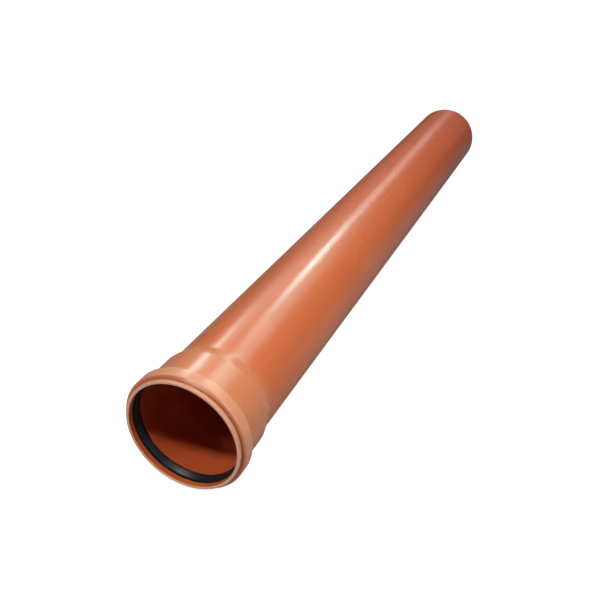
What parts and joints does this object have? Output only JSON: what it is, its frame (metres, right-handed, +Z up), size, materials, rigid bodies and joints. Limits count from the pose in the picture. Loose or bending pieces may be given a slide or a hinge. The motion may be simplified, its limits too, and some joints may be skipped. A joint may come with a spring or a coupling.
{
  "type": "sewer pipe",
  "caption": "Plastic sewer pipe with a belled push-fit socket on one end, a rubber lip seal in the socket's bead and a chamfered plain end.",
  "frame": {"origin": "on the floor, under the middle of the pipe as it lies", "axes": "+Y along the pipe from the socket's mouth to the plain end, +Z up from the floor; the pipe's own axis dips 0.46 degrees towards the plain end, because it lies on its bead"},
  "size_m": [0.1256, 1.0008, 0.1257],
  "materials": {
    "pvc": "satin",
    "seal_rubber": "satin"
  },
  "bodies": {
    "root": {"pipe": "pvc", "sealing_ring": "seal_rubber"}
  },
  "joints": []
}
